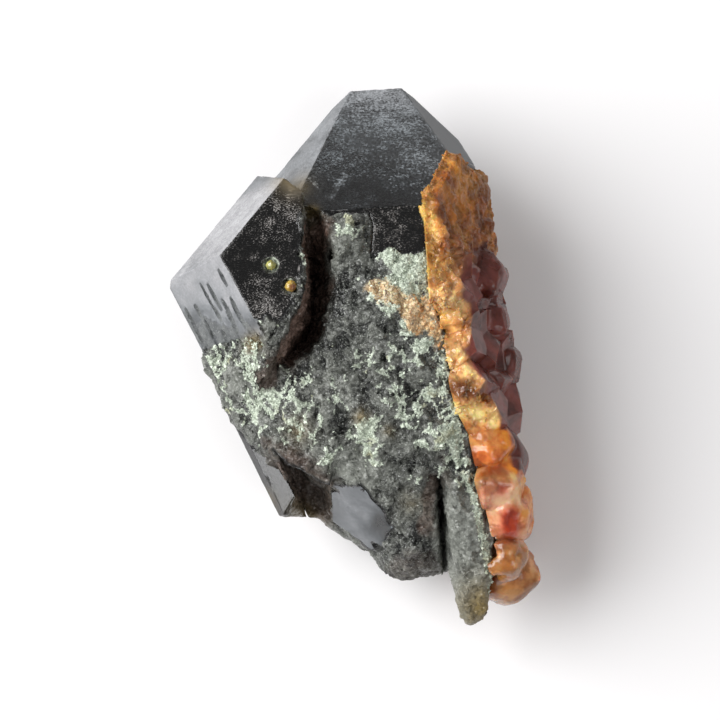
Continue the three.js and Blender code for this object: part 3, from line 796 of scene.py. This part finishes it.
def sowing_tree():
    """Geometry nodes that sow grains over a surface, as thickly as an attribute of it says."""
    tree = bpy.data.node_groups.new("sow grains", "GeometryNodeTree")
    sockets = {
        "Surface": "Geometry",
        "Grain": "Object",
        "Where": "String",
        "Per square millimetre": "Float",
        "Smallest": "Float",
        "Largest": "Float",
        "Flatness": "Float",
        "Tilt": "Float",
        "Stretch": "Float",
        "Lift": "Float",
        "Seed": "Int",
        "Finish": "Material",
    }
    for name, kind in sockets.items():
        tree.interface.new_socket(name, in_out="INPUT", socket_type="NodeSocket" + kind)
    tree.interface.new_socket("Sown", in_out="OUTPUT", socket_type="NodeSocketGeometry")
    given = tree.nodes.new("NodeGroupInput").outputs
    where = wire(tree, "GeometryNodeInputNamedAttribute", {"Name": given["Where"]}, data_type="FLOAT")
    where = next(socket for socket in where.outputs if socket.enabled)
    thickness = times(tree, where, times(tree, given["Per square millimetre"], 1e6))
    points = wire(
        tree,
        "GeometryNodeDistributePointsOnFaces",
        {"Mesh": given["Surface"], "Density": thickness, "Seed": given["Seed"]},
    ).outputs
    lift = wire(
        tree, "ShaderNodeVectorMath", {0: points["Normal"], "Scale": given["Lift"]}, operation="SCALE"
    )
    placed = wire(
        tree, "GeometryNodeSetPosition", {"Geometry": points["Points"], "Offset": lift.outputs[0]}
    ).outputs[0]

    def chance(low, high, seed):
        """A number for each grain, drawn between two ends."""
        made = tree.nodes.new("FunctionNodeRandomValue")
        made.data_type = "FLOAT"
        ends = [socket for socket in made.inputs if socket.enabled]
        for socket, value in zip(ends, (low, high)):
            if isinstance(value, bpy.types.NodeSocket):
                tree.links.new(value, socket)
            else:
                socket.default_value = value
        made.inputs["Seed"].default_value = seed
        return next(socket for socket in made.outputs if socket.enabled)

    back = times(tree, given["Tilt"], -1.0)
    lean = wire(
        tree,
        "ShaderNodeCombineXYZ",
        {
            "X": chance(back, given["Tilt"], 1),
            "Y": chance(back, given["Tilt"], 2),
            "Z": chance(0.0, FULL_TURN, 3),
        },
    ).outputs[0]
    turned = wire(
        tree,
        "FunctionNodeRotateRotation",
        {"Rotation": points["Rotation"], "Rotate By": lean},
        rotation_space="LOCAL",
    ).outputs[0]
    size = chance(given["Smallest"], given["Largest"], 4)
    shape = wire(
        tree,
        "ShaderNodeCombineXYZ",
        {"X": chance(0.6, given["Stretch"], 5), "Y": 1.0, "Z": given["Flatness"]},
    ).outputs[0]
    size = times(tree, size, MILLIMETRE)
    scale = wire(tree, "ShaderNodeVectorMath", {0: shape, "Scale": size}, operation="SCALE").outputs[0]
    grain_shape = wire(tree, "GeometryNodeObjectInfo", {"Object": given["Grain"]}).outputs["Geometry"]
    sown = wire(
        tree,
        "GeometryNodeInstanceOnPoints",
        {"Points": placed, "Instance": grain_shape, "Rotation": turned, "Scale": scale},
    ).outputs[0]
    tone = chance(0.0, 1.0, 6)
    marked = wire(
        tree,
        "GeometryNodeStoreNamedAttribute",
        {"Geometry": sown, "Name": "tone"},
        data_type="FLOAT",
        domain="INSTANCE",
    )
    tree.links.new(tone, next(s for s in marked.inputs if s.enabled and s.name == "Value"))
    real = wire(tree, "GeometryNodeRealizeInstances", {"Geometry": marked.outputs[0]}).outputs[0]
    finished = wire(tree, "GeometryNodeSetMaterial", {"Geometry": real, "Material": given["Finish"]})
    wire(tree, "NodeGroupOutput", {"Sown": finished.outputs[0]})
    return tree


sow_grains = sowing_tree()


def sow(name, surface, shape, where, finish, thickness, sizes, flatness, tilt, stretch, lift, seed):
    """Sows grains over a piece and returns them as one plain mesh of its own, at the origin.

    Thickness is how many lie on a square millimetre where the attribute is 1. Sizes are the smallest and
    the largest, in millimetres, and lift is in metres.
    """
    inputs = {"Grain": shape, "Where": where, "Finish": finish, "Per square millimetre": thickness}
    inputs.update({"Smallest": sizes[0], "Largest": sizes[1], "Flatness": flatness, "Tilt": tilt})
    inputs.update({"Stretch": stretch, "Lift": lift, "Seed": seed})
    holder = bpy.data.objects.new(name + "_ground", surface.data)
    bpy.context.scene.collection.objects.link(holder)
    sowing = holder.modifiers.new("sow", "NODES")
    sowing.node_group = sow_grains
    for item in sow_grains.interface.items_tree:
        if item.in_out == "INPUT" and item.name in inputs:
            sowing[item.identifier] = inputs[item.name]
    around = bpy.context.evaluated_depsgraph_get()
    grown = holder.evaluated_get(around)
    mesh = bpy.data.meshes.new_from_object(grown, preserve_all_data_layers=True, depsgraph=around)
    bpy.data.objects.remove(holder)
    mesh.name = name
    piece = bpy.data.objects.new(name, mesh)
    bpy.context.scene.collection.objects.link(piece)
    return piece


def scale_material():
    material, tree = blank_material("pale scale")
    place = wire(tree, "ShaderNodeTexCoord").outputs["Object"]
    powder = grain(tree, place, 0.1, 3, 0.65)
    tone = times_plus(tree, attribute(tree, "tone"), 0.5, times(tree, powder, 0.5))
    colour = blend(tree, between(tree, 0.2, 0.75, tone), (0.27, 0.31, 0.24), (0.72, 0.79, 0.67))
    stain = between(tree, 0.58, 0.68, grain(tree, place, 1.3, 2, 0.5))
    colour = blend(tree, times(tree, stain, 0.45), colour, (0.38, 0.35, 0.18))
    normal = bump(tree, powder, 0.6, 0.00008)
    end_material(tree, {"Base Color": colour, "Roughness": 0.75, "Normal": normal})
    return material


flake = crumb("flake", 4.0, 0.7)
scale_crumbs = sow(
    "scale_crumbs",
    smoky_quartz,
    flake,
    "powder",
    scale_material(),
    thickness=30.0,
    sizes=(0.07, 0.30),
    flatness=0.5,
    tilt=1.2,
    stretch=1.9,
    lift=0.00001,
    seed=11,
)
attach(scale_crumbs, "root")

chip = crumb("chip", 9.0, 0.8)
quartz_crumbs = sow(
    "quartz_crumbs",
    smoky_quartz,
    chip,
    "loose",
    smoky_quartz.data.materials[0],
    thickness=3.6,
    sizes=(0.12, 0.50),
    flatness=0.7,
    tilt=0.8,
    stretch=1.9,
    lift=-0.00005,
    seed=5,
)
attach(quartz_crumbs, "root")

# ---- Garnet crust ----
# Many spessartine garnets grown into one crust down the quartz's right side: fine brown-orange grains
# at its upper end, larger glassy crystals at its lower end. Its left edge is broken across and shows the
# bright inside of the grains; the outer faces are whole, dark red and shiny.

crust_bm = in_millimetres("garnet_crust")
mark_flats(crust_bm, 2.2)
crust_flat = crust_bm.faces.layers.int["flat"]
# Which ways the two right-hand faces of the quartz look, which the crust lies on.
QUARTZ_SIDES = [Vector((0.864, 0.053, 0.5)), Vector((0.938, 0.057, -0.34))]
# The line down the crust where its broken left edge meets the whole outer faces: how far along, and how
# far right.
RIDGE = [
    (17.0, 16.0),
    (9.6, 15.0),
    (8.2, 9.4),
    (4.8, 9.3),
    (1.0, 10.3),
    (-1.4, 9.8),
    (-4.3, 11.6),
    (-7.0, 12.6),
    (-9.0, 13.8),
    (-11.5, 13.9),
    (-13.0, 16.2),
    (-24.0, 18.0),
]


def right_at(along, line):
    """How far right a line down the crust lies, at a distance along it."""
    for (y0, x0), (y1, x1) in zip(line, line[1:]):
        if along >= y1:
            return x0 + (x1 - x0) * (along - y0) / (y1 - y0)
    return line[-1][1]


def ridge_at(along):
    return right_at(along, RIDGE)


def seam_at(along):
    return right_at(along, [(y, x) for x, y in SEAM])


def crust_fineness(place, near_border, rough):
    """The longest edge allowed: short on the broken edge, longer on the whole faces and low down."""
    return 0.8 if place.z < 5 or place.x > ridge_at(place.y) + 1.2 else 0.30


cut_fine(crust_bm, crust_fineness)
crust_bm.normal_update()

# The colours of the garnets, and of the broken edge from its upper end down: how far along, and the colour.
OCHRE, AMBER, PEACH = (0.46, 0.27, 0.07), (0.56, 0.22, 0.045), (0.72, 0.41, 0.17)
BROWN, YELLOW, ORANGE = (0.24, 0.09, 0.02), (1.0, 0.66, 0.24), (0.60, 0.15, 0.015)
ROSE, DEEP, HONEY = (0.78, 0.40, 0.27), (0.42, 0.036, 0.0003), (0.27, 0.107, 0.020)
VIVID, MAROON, SUGAR = (0.95, 0.30, 0.015), (0.085, 0.021, 0.016), (0.85, 0.66, 0.44)
EDGE_COLOURS = [
    (17.0, (0.250, 0.104, 0.018)),
    (11.0, (0.240, 0.088, 0.014)),
    (8.5, (0.34, 0.14, 0.030)),
    (5.5, (0.44, 0.19, 0.045)),
    (3.2, PEACH),
    (0.6, AMBER),
    (-2.2, PEACH),
    (-3.6, PEACH),
    (-4.6, BROWN),
    (-5.8, BROWN),
    (-6.5, YELLOW),
    (-7.6, YELLOW),
    (-8.4, ORANGE),
    (-11.8, ORANGE),
    (-12.6, PEACH),
    # Rose: the big lower garnet's own colour, with a painted reflection in it.
    (-13.4, ROSE),
    (-17.5, ROSE),
    (-18.8, HONEY),
    (-24.0, HONEY),
]
# Painted light in the glassy lower garnets: where a vivid orange glow is painted, and where a deep red core
# of light passing through is painted: middle, reach and strength.
GLOW_SPOTS = [((15.2, -15.6), 1.0, 1.0), ((15.2, -13.6), 0.9, 1.0)]
CORE_LIGHT_SPOTS = [((14.1, -15.9), 0.8, 1.2), ((14.1, -17.1), 0.8, 1.2), ((13.3, -13.6), 0.5, 0.8)]


def edge_colour(along):
    for (y0, c0), (y1, c1) in zip(EDGE_COLOURS, EDGE_COLOURS[1:]):
        if along >= y1:
            return Vector(c0).lerp(Vector(c1), step(0.0, 1.0, (y0 - along) / (y0 - y1)))
    return Vector(EDGE_COLOURS[-1][1])


def garnet_colour(place, outer, fine):
    """The colour of the garnet at a place: that of its stretch of the edge, varied from grain to grain, with
    a painted glow and painted deep red cores on the lower garnets.
    """
    own = noise.cell_vector(noise.voronoi(place / 1.5)[1][0] * 5.3)
    colour = edge_colour(place.y + 0.9 * clumps(place, 1.5, 2))
    colour = colour.lerp(Vector(PEACH), 0.5 * own.y * (1 - fine)) * (0.62 + 0.7 * own.x)
    colour = colour.lerp(Vector(VIVID), 0.75 * min(1.0, spots(place, GLOW_SPOTS)))
    colour = colour.lerp(Vector(DEEP), min(1.0, spots(place, CORE_LIGHT_SPOTS)))
    # A painted vivid orange glow along the thin broken edge of the lower garnets.
    from_ridge = abs(ridge_at(place.y) - place.x + 0.3 * clumps(place, 1.0, 2))
    colour = colour.lerp(Vector(VIVID), 0.8 * (step(1.1, 0.3, from_ridge) * step(-7.4, -8.4, place.y)))
    rim = step(0.5, 0.1, place.x - seam_at(place.y) + 0.2 * clumps(place, 0.8, 2)) * step(3.0, 6.0, place.y)
    colour = colour.lerp(Vector(OCHRE), 0.9 * rim)
    skin = Vector(MAROON) * (0.8 + 0.5 * own.z)
    return colour.lerp(skin, outer)


outer_layer, fine_layer, glassy_layer, inner_layer = (
    crust_bm.verts.layers.float.new(name) for name in ("outer", "fine", "glassy", "inner")
)
tint_layer = crust_bm.verts.layers.float_color.new("tint")
touching = [
    v for v in crust_bm.verts if v.normal.x < -0.9 or max(-v.normal.dot(side) for side in QUARTZ_SIDES) > 0.8
]
against_quartz = set(touching)
for v in crust_bm.verts:
    past_ridge = v.co.x - ridge_at(v.co.y + 1.3 * clumps(v.co, 2.0, 2)) + 0.8 * clumps(v.co, 2.2, 2)
    fade = 2.2 * step(5.5, 7.5, v.co.y)
    v[outer_layer] = step(-0.3 - fade, 0.5 + fade, past_ridge)
    v[fine_layer] = step(6.0, 10.0, v.co.y + 1.5 * clumps(v.co, 2.5, 2))
    v[glassy_layer] = step(-7.2, -8.8, v.co.y)
    broken_edge = (1 - v[outer_layer]) * (1 - v[fine_layer]) * (1 - v[glassy_layer])
    v[inner_layer] = broken_edge * step(8.0, 11.0, v.co.z)
loose = [v for v in crust_bm.verts if v not in against_quartz]
smooth(crust_bm, [v for v in loose if v[outer_layer] < 0.6 or v[fine_layer] > 0.4], 3)
smooth(crust_bm, [v for v in loose if v[fine_layer] > 0.5], 3)
smooth(crust_bm, [v for v in loose if v[glassy_layer] > 0.5], 9)
smooth(crust_bm, [v for v in crust_bm.verts if v.co.y < -18.6 and v.co.z > 9], 12)
crust_bm.normal_update()

# The solids stand a little apart, so the crust's back is moved this far into the quartz.
SUNK_IN = 0.34
moves = {}
for v in crust_bm.verts:
    place, small, outer = v.co, v[fine_layer], v[outer_layer]
    whole = 1 - 0.85 * outer * (1 - small)
    glassy = v[glassy_layer]
    grains = (0.30 - 0.20 * small) * chips(place, 1.7 - 0.9 * small) * whole * (1 - 0.7 * glassy)
    grit = (0.12 - 0.05 * small) * chips(place, 0.6) * whole * (1 - 0.9 * glassy)
    v[tint_layer] = (*garnet_colour(place, outer, small), 1.0)
    if v in against_quartz:
        moves[v] = v.normal * SUNK_IN
    else:
        moves[v] = v.normal * (grains + grit + 0.22 * glassy + 0.15 * step(-17.5, -19.0, place.y))
for v, move in moves.items():
    v.co += move
at_joint = {w for v in touching for e in v.link_edges for w in e.verts if w not in against_quartz}
smooth(crust_bm, list(at_joint), 3)
garnet_crust = finish_piece(crust_bm, "garnet_crust_grown", crust_flat)


def garnet_material():
    material, tree = blank_material("spessartine")
    place = wire(tree, "ShaderNodeTexCoord").outputs["Object"]
    outer, fine, glassy = (attribute(tree, name) for name in ("outer", "fine", "glassy"))
    tint = wire(tree, "ShaderNodeAttribute", attribute_name="tint").outputs["Color"]
    crumbs = grain(tree, place, 0.3, 4, 0.6)
    cloud = grain(tree, place, 1.1, 3, 0.6)
    light = wire(tree, "ShaderNodeVectorMath", {0: tint, "Scale": 2.0}, operation="SCALE").outputs[0]
    deep = vector_maths(tree, "MULTIPLY", tint, (0.85, 0.58, 0.40))
    colour = blend(tree, between(tree, 0.32, 0.66, cloud), deep, light)
    inner = rest_of(tree, outer)

    # Pale sugary spots, on the broken edge alone, and few on the glassy garnets.
    sugar = between(tree, 0.58, 0.68, times_plus(tree, crumbs, 0.6, times(tree, cloud, 0.4)))
    sugar = times(tree, sugar, times(tree, inner, times_plus(tree, fine, -0.42, 0.54)))
    sugar = times(tree, sugar, times_plus(tree, glassy, -0.9, 1.0))
    colour = blend(tree, sugar, colour, SUGAR)

    # The glassy garnets are the clearest, and the outer faces hide what is inside.
    clear = times_plus(tree, glassy, 0.15, times_plus(tree, fine, -0.2, 0.30))
    clear = times(tree, clear, times_plus(tree, outer, -0.8, 1.0))
    clear = times(tree, clear, rest_of(tree, sugar))
    dullness = times_plus(tree, outer, 0.10, times_plus(tree, fine, 0.25, 0.14))

    facets = maths(tree, "ADD", tilted_facets(tree, place, 0.9), tilted_facets(tree, place, 0.3))
    facets = times(tree, facets, times_plus(tree, inner, 0.45, times(tree, fine, 0.4)))
    facets = times(tree, facets, times_plus(tree, glassy, -0.8, 1.0))
    normal = bump(tree, facets, 1.0, 0.9)
    normal = bump(tree, crumbs, 0.2, 0.0001, normal)
    looks = {
        "Base Color": colour,
        "Roughness": dullness,
        "Transmission Weight": clear,
        "Normal": normal,
        "IOR": 1.8,
        "Specular IOR Level": 0.2,
        "Subsurface Weight": 0.5,
        "Subsurface Scale": 0.0008,
        "Subsurface Radius": (1.0, 0.4, 0.12),
    }
    end_material(tree, looks, inside=((0.95, 0.50, 0.12), 500.0))
    return material


spessartine = garnet_material()
garnet_crust.data.materials.append(spessartine)
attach(garnet_crust, "root")
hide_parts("garnet_crust")

# ---- Garnet crumbs, grains and chips ----
# Small garnets and splinters of garnet that belong to the crust: crystals packed over its upper end,
# sugary chips on its broken band, and crumbs that spread from it over the quartz.


def garnet_grain():
    """A garnet crystal: a rhombic dodecahedron, one unit across."""
    bm = bmesh.new()
    for corner in itertools.product((-0.25, 0.25), repeat=3):
        bm.verts.new(corner)
    for axis in range(3):
        for end in (-0.5, 0.5):
            tip = [0.0, 0.0, 0.0]
            tip[axis] = end
            bm.verts.new(tip)
    bmesh.ops.convex_hull(bm, input=bm.verts)
    bmesh.ops.recalc_face_normals(bm, faces=bm.faces)
    mesh = bpy.data.meshes.new("garnet grain")
    bm.to_mesh(mesh)
    bm.free()
    return bpy.data.objects.new("garnet grain", mesh)


small_garnet = garnet_grain()
crust_grains = sow(
    "crust_grains",
    garnet_crust,
    small_garnet,
    "fine",
    spessartine,
    thickness=9.0,
    sizes=(0.16, 0.40),
    flatness=0.9,
    tilt=1.5,
    stretch=1.1,
    lift=-0.00011,
    seed=3,
)
sugary_chips = sow(
    "sugary_chips",
    garnet_crust,
    chip,
    "inner",
    spessartine,
    thickness=2.0,
    sizes=(0.20, 0.60),
    flatness=0.8,
    tilt=0.8,
    stretch=1.5,
    lift=-0.00006,
    seed=7,
)


def crumb_material():
    material, tree = blank_material("garnet crumbs")
    place = wire(tree, "ShaderNodeTexCoord").outputs["Object"]
    fine = grain(tree, place, 0.12, 3, 0.6)
    tone = times_plus(tree, attribute(tree, "tone"), 0.6, times(tree, fine, 0.4))
    tone = between(tree, 0.15, 0.8, tone)
    by_crust = blend(tree, tone, (0.56, 0.27, 0.10), (0.92, 0.64, 0.36))
    away = blend(tree, tone, (0.34, 0.24, 0.15), (0.80, 0.68, 0.46))
    across = wire(tree, "ShaderNodeSeparateXYZ", {0: place}).outputs["X"]
    colour = blend(tree, between(tree, 0.0035, 0.0065, across), away, by_crust)
    looks = {
        "Base Color": colour,
        "Roughness": 0.4,
        "Normal": bump(tree, fine, 0.5, 0.00008),
        "Subsurface Weight": 0.3,
        "Subsurface Scale": 0.0004,
        "Subsurface Radius": (1.0, 0.5, 0.2),
    }
    end_material(tree, looks)
    return material


spread_crumbs = sow(
    "spread_crumbs",
    smoky_quartz,
    chip,
    "tan",
    crumb_material(),
    thickness=16.0,
    sizes=(0.10, 0.46),
    flatness=0.8,
    tilt=0.8,
    stretch=1.3,
    lift=-0.00003,
    seed=21,
)
# The patterns for the grains aren't pieces themselves.
for pattern in (flake, chip, small_garnet):
    bpy.data.objects.remove(pattern)
for piece in (crust_grains, sugary_chips, spread_crumbs):
    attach(piece, "root")

# ---- Two small yellow garnets ----
# Each is a single crystal with twenty-four kite-shaped faces, seated in its own ringed pit in the left
# crystal's front. The upper is yellow-green, the lower gold with a red-brown spot.


# Each is made this much larger than its solid, which stands clear of its pit.
GROWN = 1.12


def in_fixed_order(bm):
    """The same triangles, listed in one order on every run: beveling leaves them in any order."""
    bm.verts.index_update()
    rings = []
    for f in bm.faces:
        ring = [v.index for v in f.verts]
        first = ring.index(min(ring))
        rings.append(ring[first:] + ring[:first])
    ordered = bmesh.new()
    corners = [ordered.verts.new(v.co) for v in bm.verts]
    for ring in sorted(rings):
        ordered.faces.new([corners[i] for i in ring])
    bm.free()
    return ordered


def kite_crystal(name, node, turn):
    """A garnet with kite faces in place of a node, its edges a little worn."""
    low, high = (Vector(corner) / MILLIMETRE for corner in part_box(node))
    middle, half = (low + high) / 2, max(high - low) / 2 * GROWN
    bm = bmesh.new()
    for corner in set(itertools.permutations((1.0, 0, 0))) | {(-1.0, 0, 0), (0, -1.0, 0), (0, 0, -1.0)}:
        bm.verts.new(corner)
    for a, b in itertools.product((-0.667, 0.667), repeat=2):
        for corner in ((a, b, 0), (a, 0, b), (0, a, b)):
            bm.verts.new(corner)
    for corner in itertools.product((-0.5, 0.5), repeat=3):
        bm.verts.new(corner)
    bmesh.ops.convex_hull(bm, input=bm.verts)
    bmesh.ops.dissolve_limit(bm, angle_limit=0.02, verts=bm.verts, edges=bm.edges)
    bmesh.ops.bevel(bm, geom=bm.edges, offset=0.05, segments=2, affect="EDGES", profile=0.6)
    bmesh.ops.triangulate(bm, faces=bm.faces)
    bmesh.ops.recalc_face_normals(bm, faces=bm.faces)
    bmesh.ops.scale(bm, vec=(half,) * 3, verts=bm.verts)
    turned = Matrix.Rotation(math.radians(turn), 3, Vector((1.0, 0.6, 0.3)))
    bmesh.ops.rotate(bm, matrix=turned, verts=bm.verts)
    bmesh.ops.translate(bm, vec=middle, verts=bm.verts)
    return finish_piece(in_fixed_order(bm), name)


def yellow_garnet_material(name, colour, spot, middle):
    """Glassy yellow garnet, clouded darker, with a spot of another colour if one is given."""
    material, tree = blank_material(name)
    place = wire(tree, "ShaderNodeTexCoord").outputs["Object"]
    cloud = grain(tree, place, 0.35, 2, 0.5)
    shade = blend(tree, between(tree, 0.35, 0.65, cloud), tuple(0.6 * c for c in colour), colour)
    if spot:
        off = vector_maths(tree, "SUBTRACT", place, tuple((middle + Vector((0.12, -0.1, 0.2))) * MILLIMETRE))
        far = vector_maths(tree, "LENGTH", off, output="Value")
        shade = blend(tree, between(tree, 0.00048, 0.00026, far), shade, spot)
    looks = {
        "Base Color": shade,
        "Roughness": 0.16,
        "IOR": 1.8,
        "Transmission Weight": 0.35,
        "Normal": bump(tree, cloud, 0.15, 0.00005),
        "Subsurface Weight": 0.4,
        "Subsurface Scale": 0.0005,
        "Subsurface Radius": (1.0, 0.7, 0.2),
    }
    end_material(tree, looks)
    return material


for name, node, turn, colour, spot, middle in (
    ("upper_yellow_garnet", "upper_face_garnet", 25, (0.62, 0.60, 0.20), None, bead_middles[0]),
    ("lower_yellow_garnet", "lower_face_garnet", 40, (0.72, 0.50, 0.10), (0.22, 0.07, 0.02), bead_middles[1]),
):
    garnet = kite_crystal(name, node, turn)
    garnet.data.materials.append(yellow_garnet_material(name.replace("_", " "), colour, spot, middle))
    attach(garnet, "root")
    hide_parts(node)

# ---- Floor, light and camera ----
# The stone lies on a plain white table. Soft light falls on it from its upper left, with a weak
# reflector on the other side, and the camera looks down on it from almost straight above.

floor_mesh = bpy.data.meshes.new("table")
floor_bm = bmesh.new()
bmesh.ops.create_grid(floor_bm, x_segments=1, y_segments=1, size=1.5)
floor_bm.to_mesh(floor_mesh)
floor_bm.free()
table = bpy.data.objects.new("table", floor_mesh)
bpy.context.scene.collection.objects.link(table)
table_material, table_tree = blank_material("white table")
end_material(table_tree, {"Base Color": (0.80, 0.79, 0.795, 1), "Roughness": 0.7})
floor_mesh.materials.append(table_material)


def soft_light(name, place, target, size, watts):
    lamp = bpy.data.lights.new(name, "AREA")
    lamp.shape = "SQUARE"
    lamp.size = size
    lamp.energy = watts
    holder = bpy.data.objects.new(name, lamp)
    holder.location = place
    holder.rotation_euler = (Vector(target) - Vector(place)).to_track_quat("-Z", "Y").to_euler()
    bpy.context.scene.collection.objects.link(holder)


soft_light("window", (-0.40, 0.05, 0.34), (0, 0, 0.01), 0.50, 4.95)
soft_light("reflector", (0.26, -0.20, 0.45), (0, 0, 0.01), 0.30, 0.7)

world = bpy.data.worlds.new("studio")
world.use_nodes = True
world.node_tree.nodes.clear()
background = wire(world.node_tree, "ShaderNodeBackground", {"Color": (1, 1, 1, 1), "Strength": 0.34})
wire(world.node_tree, "ShaderNodeOutputWorld", {"Surface": background.outputs[0]})
bpy.context.scene.world = world
bpy.context.scene.view_settings.view_transform = "Standard"

# How the camera looks at the middle of the stone: its angle above the table, its distance in metres and
# the length of its lens in millimetres.
CAMERA_SLOPE = math.radians(80.0)
CAMERA_DISTANCE = 0.26
LONG_LENS = 141.0
aim = Vector((0.00057, -0.00113, 0.012))
camera_data = bpy.data.cameras.new("camera")
camera_data.lens = LONG_LENS
camera_data.sensor_width = 36.0
camera_data.clip_start = 0.01
camera = bpy.data.objects.new("camera", camera_data)
camera.location = aim + CAMERA_DISTANCE * Vector((0, -math.cos(CAMERA_SLOPE), math.sin(CAMERA_SLOPE)))
camera.rotation_euler = (math.pi / 2 - CAMERA_SLOPE, 0, 0)
bpy.context.scene.collection.objects.link(camera)
bpy.context.scene.camera = camera
